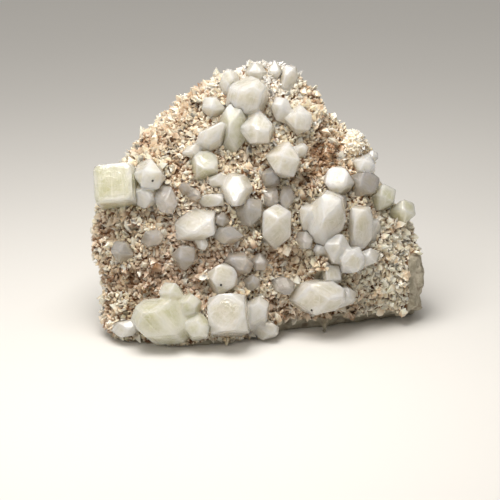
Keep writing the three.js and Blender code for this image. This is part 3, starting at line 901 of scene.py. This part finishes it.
@dataclass
class RockSlab:
    """The slab of rock under the crust, rough where it is broken."""

    node: str = "matrix"
    voxel: float = 1.15 * MM
    clump_size: float = 9.0 * MM
    small_clumps: float = 0.45
    broad_share: float = 0.62
    crevice_depth: float = 3.0 * MM
    bare_crevice: float = 0.35
    break_scale: float = 260.0
    break_depth: float = 1.0 * MM
    base_band: float = 1.5 * MM
    contact: float = 5.0 * MM
    collar_reach: float = 3.0 * MM
    crust_edge: float = 0.25
    overhang: tuple[float, float] = (-0.5, -0.2)
    socket_fit: float = 1.0 * MM
    socket_band: tuple[float, float] = (0.5 * MM, 4.0 * MM)
    draw_in: float = 2.0 * MM
    overlap: float = 0.4 * MM
    break_start: float = 66.5 * MM
    break_top: float = 32.0 * MM
    break_wander: float = 2.0 * MM
    wander_scale: float = 150.0
    lip_start: float = 22.0 * MM
    lip_height: float = 6.0 * MM
    room: float = 6.0 * MM

    def build(self) -> Piece:
        """Make the rock.

        Returns:
            The piece, with the attributes crust, collar, room and relief.
        """
        rock = merged_copy(self.node, "rock")
        lay_even_mesh(rock, self.voxel)
        settle(rock)
        self.roughen(rock.data)
        rock.data.materials.append(ROCK_FINISH.material())
        rock.data.shade_smooth()
        return rock

    def roughen(self, mesh: Mesh) -> None:
        """Press crevices, lumps and chips into the rock and note where the crust can grow."""
        rows = places(mesh)
        normals = vertex_normals(mesh)
        away, rows = self.meet_crystals(rows)
        facing = normals @ np.array(FACE_OUT)
        upward = normals[:, 2]
        above_base = smoothstep(rows[:, 2], 0.2 * MM, self.base_band)
        clear = smoothstep(away, 0.0, self.contact)
        covered = (1 - self.bare_share(rows)) * smoothstep(upward, *self.overhang)
        crust = smoothstep(facing, 0.0, self.crust_edge) * covered
        broad = np.array([self.clump(Vector(row), self.clump_size) for row in rows])
        small_size = self.clump_size * self.small_clumps
        small = np.array([self.clump(Vector(row), small_size) for row in rows])
        chips = np.array([noise.fractal(Vector(r) * self.break_scale, 0.8, 2.0, 3) for r in rows])
        relief = self.broad_share * broad + (1 - self.broad_share) * small
        relief = np.clip(relief, 0.0, 1.0)
        crevice = self.crevice_depth * (1 - relief)
        chipped = self.break_depth * np.clip(0.5 - 0.5 * chips, 0, 1)
        depth = crevice * (self.bare_crevice + (1 - self.bare_crevice) * crust) + chipped
        rows -= normals * (depth * above_base * clear)[:, None]
        beside = 1 - smoothstep(away, *self.socket_band)
        rows += normals * (self.socket_fit * beside * above_base * crust)[:, None]
        relief = np.maximum(relief, 1 - clear)
        near = 1 - smoothstep(away, self.collar_reach * 0.5, self.collar_reach)
        keep_number(mesh, "crust", crust)
        keep_number(mesh, "collar", near * (facing > 0.0) * covered)
        keep_number(mesh, "room", np.clip(away / self.room, 0.0, 1.0))
        # relief: low in the crevices, where the finishes paint shade and the crust's stain
        keep_number(mesh, "relief", relief)
        set_places(mesh, rows)

    def bare_share(self, rows: np.ndarray) -> np.ndarray:
        """Return 1 where the rock is bare: its broken right end, and the lip along its foot.

        Args:
            rows: The places to look at.

        Returns:
            The share of bare rock at each place.
        """
        ragged = np.array([noise.noise(Vector(row) * self.wander_scale) for row in rows])
        ragged *= self.break_wander
        side, height = rows[:, 0] + ragged, rows[:, 2] + ragged
        end = smoothstep(side, self.break_start, self.break_start + 1.5 * MM)
        end *= 1 - smoothstep(height, self.break_top, self.break_top + 3 * MM)
        lip_top = self.lip_height * smoothstep(side, self.lip_start, self.lip_start + 6 * MM)
        lip = 1 - smoothstep(height - lip_top, 0.5 * MM, 2.0 * MM)
        return np.maximum(end, lip)

    @staticmethod
    def clump(place: Vector, size: float) -> float:
        """Return a height from 0 in the crevices to 1 on top of the clumps.

        Args:
            place: Where to look.
            size: How far apart the clumps are.

        Returns:
            The height.
        """
        drift = noise.noise_vector(place / size * 0.7) * 0.35
        near, far = noise.voronoi(place / size + drift)[0][:2]
        share = min(1.0, max(0.0, (far - near) / 0.5))
        return share * (2 - share)

    def meet_crystals(self, rows: np.ndarray) -> tuple[np.ndarray, np.ndarray]:
        """Close the sockets round the crystals.

        Args:
            rows: The places of the rock's vertices.

        Returns:
            How far each place is from the nearest crystal, and the places, with those
            beside a crystal drawn to just under its surface.
        """
        others = [node.data for name, node in frame["nodes"].items() if name != self.node]
        tree = surface_tree(*others)
        away = np.full(len(rows), self.room)
        closed = rows.copy()
        for index, row in enumerate(rows):
            place = Vector(row)
            spot, _, _, distance = tree.find_nearest(place, self.room)
            if spot is None:
                continue
            away[index] = distance
            if distance < self.draw_in:
                inward = (spot - place).normalized() * self.overlap
                share = min(1.0, 2 * (1 - distance / self.draw_in))
                closed[index] = place.lerp(spot + inward, share)
        return away, closed


@dataclass
class CrustLayer:
    """One layer of small crystals that grows where the rock's attribute says."""

    name: str
    shapes: tuple[CrustShape, CrustShape, CrustShape]
    finish: CrustFinish
    spacing: float
    smallest: float
    largest: float
    lean: float
    seed: int
    wanted_room: float = 0.0
    where: str = "crust"


@dataclass
class Crust:
    """The crust of small crystals over the front of the rock, and their collars."""

    sink: float = 0.32
    unevenness: float = 0.05
    foot_share: float = 0.9
    shoulder_slant: float = 0.04
    tip_slant: float = 0.05
    tip_thickness: float = 0.03
    pale_length: float = 0.9
    layers: tuple[CrustLayer, ...] = (
        CrustLayer(
            "druse_crystals", (CrustShape.SHEAF, CrustShape.POINT, CrustShape.TUFT), DRUSE_FINISH,
            spacing=3.8 * MM, smallest=3.6 * MM, largest=6.4 * MM, lean=0.8, seed=5,
            wanted_room=0.2),
        CrustLayer(
            "collar_crystals", (CrustShape.POINT, CrustShape.BLADE, CrustShape.TUFT), DRUSE_FINISH,
            spacing=1.9 * MM, smallest=2.2 * MM, largest=4.0 * MM, lean=0.9, seed=41,
            where="collar"),
        CrustLayer(
            "crust_blades", (CrustShape.BLADE, CrustShape.SHEAF, CrustShape.POINT), CRUST_FINISH,
            spacing=2.6 * MM, smallest=3.2 * MM, largest=5.2 * MM, lean=0.7, seed=11,
            wanted_room=0.08),
        CrustLayer(
            "crust_points", (CrustShape.POINT, CrustShape.TUFT, CrustShape.BLADE), CRUST_FINISH,
            spacing=1.9 * MM, smallest=2.4 * MM, largest=3.8 * MM, lean=0.8, seed=23),
        CrustLayer(
            "crust_grains", (CrustShape.GRAIN, CrustShape.POINT, CrustShape.BLADE), CRUST_FINISH,
            spacing=1.45 * MM, smallest=1.6 * MM, largest=2.5 * MM, lean=1.0, seed=37),
    )

    def build(self, rock: Piece) -> list[Piece]:
        """Grow every layer on the rock.

        Args:
            rock: The rock with its attributes crust, collar, room and relief.

        Returns:
            The pieces.
        """
        names = {layer.finish.name: layer.finish for layer in self.layers}
        finishes = {name: finish.material() for name, finish in names.items()}
        tree = self.growth_tree()
        pieces = []
        for layer in self.layers:
            piece = self.layer_piece(layer, rock, tree, finishes[layer.finish.name])
            finish_piece(piece, Slot.ROCK.value)
            pieces.append(piece)
        return pieces

    def layer_piece(self, layer: CrustLayer, ground: Piece,
                    tree: NodeTree, finish: Material) -> Piece:
        """Grow one layer over a surface.

        Args:
            layer: The layer's sizes.
            ground: What it grows on.
            tree: The growth tree.
            finish: The layer's material.

        Returns:
            The layer as one mesh.
        """
        seedlings = [self.seedling(shape) for shape in layer.shapes]
        piece = linked(layer.name, ground.data.copy())
        self.grow(piece, tree, layer, seedlings, finish)
        for seedling in seedlings:
            bpy.data.objects.remove(seedling)
        set_places(piece.data, places(piece.data))
        return piece

    @staticmethod
    def grow(piece: Piece, tree: NodeTree, layer: CrustLayer,
             seedlings: list[Piece], finish: Material) -> None:
        """Run the growth tree on a copy of the rock and keep only what grew.

        Args:
            piece: The copy of the rock, which becomes the layer.
            tree: The growth tree.
            layer: The layer's sizes.
            seedlings: The small crystals that are repeated.
            finish: The layer's material.
        """
        growth = piece.modifiers.new("growth", "NODES")
        growth.node_group = tree
        values = {
            "Spacing": layer.spacing, "Smallest": layer.smallest, "Largest": layer.largest,
            "Lean": layer.lean, "Wanted Room": layer.wanted_room, "Seed": layer.seed,
            "Where": layer.where,
            "First": seedlings[0], "Second": seedlings[1], "Third": seedlings[2],
            "Finish": finish,
        }
        for item in tree.interface.items_tree:
            if item.in_out == "INPUT" and item.name in values:
                growth[item.identifier] = values[item.name]
        settle(piece)

    def seedling(self, kind: CrustShape) -> Piece:
        """Make a small crystal that a layer repeats, one unit long.

        Args:
            kind: Which of the small crystals.

        Returns:
            An object that isn't linked to the scene.
        """
        shape = bmesh.new()
        for stalk in kind.value:
            self.add_stalk(shape, stalk)
        bmesh.ops.recalc_face_normals(shape, faces=shape.faces)
        mesh = mesh_from(shape, kind.name.lower())
        heights = places(mesh)[:, 2] + self.sink
        # tip: 0 at the foot, 1 toward the tip; the crust's finishes paint stain and shade toward
        # the foot
        keep_number(mesh, "tip", np.clip(heights / self.pale_length, 0.0, 1.0))
        return bpy.data.objects.new(f"{kind.name.lower()}_seedling", mesh)

    def add_stalk(self, shape: bmesh.types.BMesh, stalk: Stalk) -> None:
        """Add one stalk to a small crystal, sunk a little below the ground.

        Args:
            shape: The mesh that it goes into.
            stalk: The stalk's form.
        """
        half, thick = stalk.width / 2, stalk.thickness / 2
        high = stalk.length - self.sink
        middle = stalk.shoulder * stalk.length - self.sink
        sides = [(x, y) for x in (-1, 1) for y in (-1, 1)]
        foot = self.foot_share
        corners = [Vector((x * half * foot, y * thick * foot, -self.sink)) for x, y in sides]
        corners += [Vector((x * half, y * thick, middle + self.shoulder_slant * x))
                    for x, y in sides]
        corners += [Vector((x * half * stalk.tip + self.tip_thickness, 0.0,
                            high + self.tip_slant * x)) for x in (-1, 1)]
        turn = Matrix.Rotation(math.radians(stalk.turn), 3, "Z")
        turn = turn @ Matrix.Rotation(math.radians(stalk.lean), 3, "Y")
        verts = []
        for corner in corners:
            jitter = noise.noise_vector(corner * 9.1 + Vector((stalk.lean, 0, 3))) * self.unevenness
            verts.append(shape.verts.new(turn @ (corner + jitter)))
        hull = bmesh.ops.convex_hull(shape, input=verts)
        unused = [v for v in hull["geom_interior"] if isinstance(v, bmesh.types.BMVert)]
        bmesh.ops.delete(shape, geom=unused, context="VERTS")

    @staticmethod
    def growth_tree() -> NodeTree:
        """Build the tree that spreads small crystals over a surface.

        Returns:
            The tree, with named inputs for its sizes.
        """
        tree = bpy.data.node_groups.new("crust_growth", "GeometryNodeTree")
        sockets = {
            "Geometry": "NodeSocketGeometry", "Spacing": "NodeSocketFloat",
            "Smallest": "NodeSocketFloat", "Largest": "NodeSocketFloat",
            "Lean": "NodeSocketFloat", "Wanted Room": "NodeSocketFloat",
            "Seed": "NodeSocketInt", "Where": "NodeSocketString", "First": "NodeSocketObject",
            "Second": "NodeSocketObject", "Third": "NodeSocketObject",
            "Finish": "NodeSocketMaterial",
        }
        for name, kind in sockets.items():
            tree.interface.new_socket(name, in_out="INPUT", socket_type=kind)
        tree.interface.new_socket("Geometry", in_out="OUTPUT", socket_type="NodeSocketGeometry")
        desk = NodeDesk(tree)
        given = desk.add("NodeGroupInput").outputs
        crust = desk.add("GeometryNodeInputNamedAttribute", {"data_type": "FLOAT"},
                         Name=given["Where"])
        room = desk.add("GeometryNodeInputNamedAttribute", {"data_type": "FLOAT"}, Name="room")
        least = desk.math("SUBTRACT", given["Wanted Room"], 0.001)
        roomy = desk.math("GREATER_THAN", room.outputs[0], least)
        sown = desk.add(
            "GeometryNodeDistributePointsOnFaces", {"distribute_method": "POISSON"},
            Mesh=given["Geometry"], Distance_Min=given["Spacing"], Density_Max=4.0e6,
            Density_Factor=desk.math("MULTIPLY", crust.outputs[0], roomy), Seed=given["Seed"])
        turn = Crust.turn_nodes(desk, given, sown)
        size = Crust.size_nodes(desk, given, room)
        choice = desk.add("GeometryNodeJoinGeometry")
        for name in ("Third", "Second", "First"):
            source = desk.add("GeometryNodeObjectInfo", Object=given[name], As_Instance=True)
            tree.links.new(source.outputs["Geometry"], choice.inputs[0])
        pick = desk.random("INT", 3, Min=0, Max=2)
        grown = desk.add(
            "GeometryNodeInstanceOnPoints", Points=sown.outputs["Points"],
            Instance=choice.outputs[0], Pick_Instance=True, Instance_Index=pick.outputs[2],
            Rotation=turn, Scale=size)
        tint = desk.random("FLOAT", 13)
        tinted = desk.add(
            "GeometryNodeStoreNamedAttribute", {"data_type": "FLOAT", "domain": "INSTANCE"},
            Geometry=grown.outputs[0], Name="tint", Value=tint.outputs[1])
        whole = desk.add("GeometryNodeRealizeInstances", Geometry=tinted.outputs[0])
        dressed = desk.add("GeometryNodeSetMaterial", Geometry=whole.outputs[0],
                           Material=given["Finish"])
        desk.add("NodeGroupOutput", Geometry=dressed.outputs[0])
        return tree

    @staticmethod
    def turn_nodes(desk: NodeDesk, given: object, sown: Node) -> Socket:
        """Stand each small crystal on the surface, leaning and turned at random.

        Args:
            desk: The desk on the growth tree.
            given: The tree's inputs.
            sown: The node that spreads the points.

        Returns:
            The rotation.
        """
        ragged = desk.random("FLOAT_VECTOR", given["Seed"], Min=(-1.0, -1.0, -1.0),
                             Max=(1.0, 1.0, 1.0))
        leaning = desk.vector("SCALE", ragged.outputs[0], Scale=given["Lean"])
        aim = desk.vector("ADD", sown.outputs["Normal"], leaning)
        turn = desk.add("FunctionNodeAlignRotationToVector", {"axis": "Z"}, Vector=aim)
        angle = desk.random("FLOAT", 5, Min=0.0, Max=math.tau)
        roll = desk.add("FunctionNodeAxisAngleToRotation", Axis=(0.0, 0.0, 1.0),
                        Angle=angle.outputs[1])
        both = desk.add("FunctionNodeRotateRotation", {"rotation_space": "LOCAL"},
                        Rotation=turn.outputs[0], Rotate_By=roll.outputs[0])
        return both.outputs[0]

    @staticmethod
    def size_nodes(desk: NodeDesk, given: object, room: Node) -> Socket:
        """Choose each small crystal's size, smaller where a large crystal is near.

        Args:
            desk: The desk on the growth tree.
            given: The tree's inputs.
            room: The node that reads how much room there is.

        Returns:
            The scale.
        """
        chance = desk.random("FLOAT", 7)
        mostly_small = desk.math("POWER", chance.outputs[1], 1.8)
        span = desk.math("SUBTRACT", given["Largest"], given["Smallest"])
        size = desk.math("ADD", desk.math("MULTIPLY", mostly_small, span), given["Smallest"])
        size = desk.math("MULTIPLY", size, desk.spread(room.outputs[0], 0.0, 0.5, 0.8, 1.0))
        stretch = desk.random("FLOAT_VECTOR", 9, Min=(0.75, 0.75, 0.8), Max=(1.3, 1.3, 1.2))
        return desk.vector("SCALE", stretch.outputs[0], Scale=size)


@dataclass
class StilbiteKnob:
    """The peach knob of stilbite: a rounded sheaf of blades that stand side by side."""

    node: str = "stilbite_knob"
    voxel: float = 0.8 * MM
    core_depth: float = 0.8 * MM
    lump_size: float = 5.0 * MM
    groove_depth: float = 1.2 * MM
    core_tip: float = 0.4
    core_tint: float = 0.5
    blades: CrustLayer = field(default_factory=lambda: CrustLayer(
        "knob_blades", (CrustShape.BLADE, CrustShape.SHEAF, CrustShape.GRAIN), STILBITE_FINISH,
        spacing=1.4 * MM, smallest=1.8 * MM, largest=3.0 * MM, lean=0.3, seed=3))

    def build(self, crust: Crust) -> Piece:
        """Make the knob: a core, and blades that reach its CAD surface.

        Args:
            crust: The crust, whose way of growing small crystals is used.

        Returns:
            The piece.
        """
        knob = merged_copy(self.node, "knob_core")
        lay_even_mesh(knob, self.voxel)
        settle(knob)
        rows = places(knob.data)
        count = len(rows)
        relief = np.array([RockSlab.clump(Vector(row), self.lump_size) for row in rows])
        depth = self.core_depth + self.groove_depth * (1 - relief)
        set_places(knob.data, rows - vertex_normals(knob.data) * depth[:, None])
        keep_number(knob.data, "crust", np.ones(count))
        keep_number(knob.data, "room", np.ones(count))
        # Height counts in the relief, so the finish paints the knob darker toward its foot and
        # paler toward its top.
        top, foot = rows[:, 2].max(), rows[:, 2].min()
        height = (rows[:, 2] - foot) / (top - foot)
        keep_number(knob.data, "relief", np.clip(0.35 * relief + 0.6 * height, 0.0, 1.0))
        keep_number(knob.data, "tip", np.full(count, self.core_tip))
        keep_number(knob.data, "tint", np.full(count, self.core_tint))
        finish = self.blades.finish.material()
        sheaf = crust.layer_piece(self.blades, knob, crust.growth_tree(), finish)
        finish_piece(sheaf, Slot.PEACH.value)
        knob.data.materials.append(finish)
        knob.data.shade_smooth()
        finish_piece(knob, Slot.PEACH.value, self.node)
        return knob


@dataclass
class Studio:
    """A pale floor, soft light from above and a camera at the photograph's angle."""

    elevation: float = math.radians(20)
    distance: float = 0.8
    mm_per_pixel: float = 0.45
    frame_pixels: int = 500
    seen_point: Vector = field(default_factory=lambda: Vector((-0.8 * MM, 0.0, 56 * MM)))
    seen_pixel: tuple[float, float] = (258.0, 206.0)
    sensor: float = 36.0
    light_colour: Colour = (1.0, 0.96, 0.91)
    surround_colour: Colour = (1.0, 0.955, 0.895)
    surround_strength: tuple[float, float] = (0.12, 0.55)

    def build(self) -> None:
        """Set up the floor, the lights and the camera."""
        self.floor()
        self.camera()
        self.lights()

    def camera(self) -> None:
        """Place the camera so that the cluster lies in the frame as in the photograph."""
        scale = self.mm_per_pixel * MM
        up = Vector((0, math.sin(self.elevation), math.cos(self.elevation)))
        back = Vector((0, -math.cos(self.elevation), math.sin(self.elevation)))
        middle = self.frame_pixels / 2
        aim = self.seen_point.copy()
        aim.x -= (self.seen_pixel[0] - middle) * scale
        aim += up * (self.seen_pixel[1] - middle) * scale
        data = bpy.data.cameras.new("camera")
        data.sensor_width = self.sensor
        data.lens = self.sensor * self.distance / (self.frame_pixels * scale)
        camera = linked("camera", data)
        camera.location = aim + back * self.distance
        camera.rotation_euler = (math.pi / 2 - self.elevation, 0.0, 0.0)
        bpy.context.scene.camera = camera

    @staticmethod
    def floor() -> None:
        """Lay a plain pale floor."""
        shape = bmesh.new()
        bmesh.ops.create_grid(shape, x_segments=1, y_segments=1, size=3.0)
        floor = linked("floor", mesh_from(shape, "floor"))
        material, desk, shader = new_material("pale_floor")
        cloudy = desk.noise(desk.place(), 4.0, 2.0)
        soft = desk.mix(cloudy, srgb(226, 225, 222), srgb(232, 231, 228))
        desk.feed_all(shader, Base_Color=soft, Roughness=0.6)
        floor.data.materials.append(material)

    def lights(self) -> None:
        """Hang a broad light above, a weak one at the front and a surround paler overhead."""
        self.area("key", Vector((-0.06, -0.1, 0.4)), 0.26, 1.85)
        self.area("front", Vector((-0.5, -0.8, 0.6)), 0.3, 1.0)
        bpy.context.scene.view_settings.view_transform = "Standard"
        world = bpy.data.worlds.new("surround")
        world.use_nodes = True
        backdrop = world.node_tree.nodes["Background"]
        desk = NodeDesk(world.node_tree)
        apart = desk.add("ShaderNodeSeparateXYZ")
        desk.feed(apart, 0, desk.add("ShaderNodeTexCoord").outputs["Generated"])
        strength = desk.spread(apart.outputs[2], 0.0, 1.0, *self.surround_strength)
        desk.feed_all(backdrop, Strength=strength, Color=(*self.surround_colour, 1.0))
        bpy.context.scene.world = world

    def area(self, name: str, place: Vector, size: float, power: float) -> None:
        """Hang one square light that faces the cluster.

        Args:
            name: The light's name.
            place: Where it hangs.
            size: Its side.
            power: Its power in watts.
        """
        data = bpy.data.lights.new(name, "AREA")
        data.size = size
        data.energy = power
        data.color = self.light_colour
        light = linked(name, data)
        light.location = place
        target = Vector((0.0, 0.0, 0.05))
        light.rotation_euler = (target - place).to_track_quat("-Z", "Y").to_euler()


@dataclass
class Specks:
    """Dark grains that sit on a few of the crystals. Their places are in millimetres."""

    places: tuple[tuple[float, float, float], ...] = (
        (-47.2, -14.6, 72.7), (-17.2, -29.0, 29.1), (23.1, -26.3, 16.2), (16.0, 7.4, 85.4),
    )
    size: float = 0.55 * MM
    unevenness: float = 0.3
    lump_scale: float = 2200.0

    def build(self, hosts: list[Piece]) -> Piece:
        """Make the grains, each on the surface nearest to its place.

        Args:
            hosts: The pieces that they can sit on.

        Returns:
            The piece.
        """
        shape = bmesh.new()
        trees = [surface_tree(host.data) for host in hosts]
        for place in self.places:
            spot = Vector(place) * MM
            hits = (tree.find_nearest(spot) for tree in trees)
            nearest = min(hits, key=lambda hit: hit[3])
            grain = bmesh.ops.create_icosphere(shape, subdivisions=2, radius=self.size)
            for vertex in grain["verts"]:
                lump = noise.noise(vertex.co * self.lump_scale + spot * 500.0)
                vertex.co = nearest[0] + vertex.co * (1 + self.unevenness * lump)
        specks = linked("dark_specks", mesh_from(shape, "dark_specks"))
        material, desk, shader = new_material("dark_grain")
        mottle = desk.noise(desk.place(), 900.0, 2.0)
        desk.feed_all(shader, Base_Color=desk.mix(mottle, *SPECK_COLOURS), Roughness=0.4)
        specks.data.materials.append(material)
        specks.data.shade_smooth()
        finish_piece(specks, Slot.ROCK.value)
        return specks


def main() -> None:
    """Build the studio, the rock, its crust, the crystals, the specks and the knob."""
    logging.basicConfig(level=logging.INFO, format="%(message)s")
    # Without a seed, Blender's vector noise is new in every run
    noise.seed_set(NOISE_SEED)
    Studio().build()
    rock = RockSlab().build()
    crust = Crust()
    crust.build(rock)
    finish_piece(rock, Slot.ROCK.value, "matrix")
    crystals = Crystals().build()
    Specks().build([*crystals, rock])
    StilbiteKnob().build(crust)


if __name__ == "__main__":
    main()
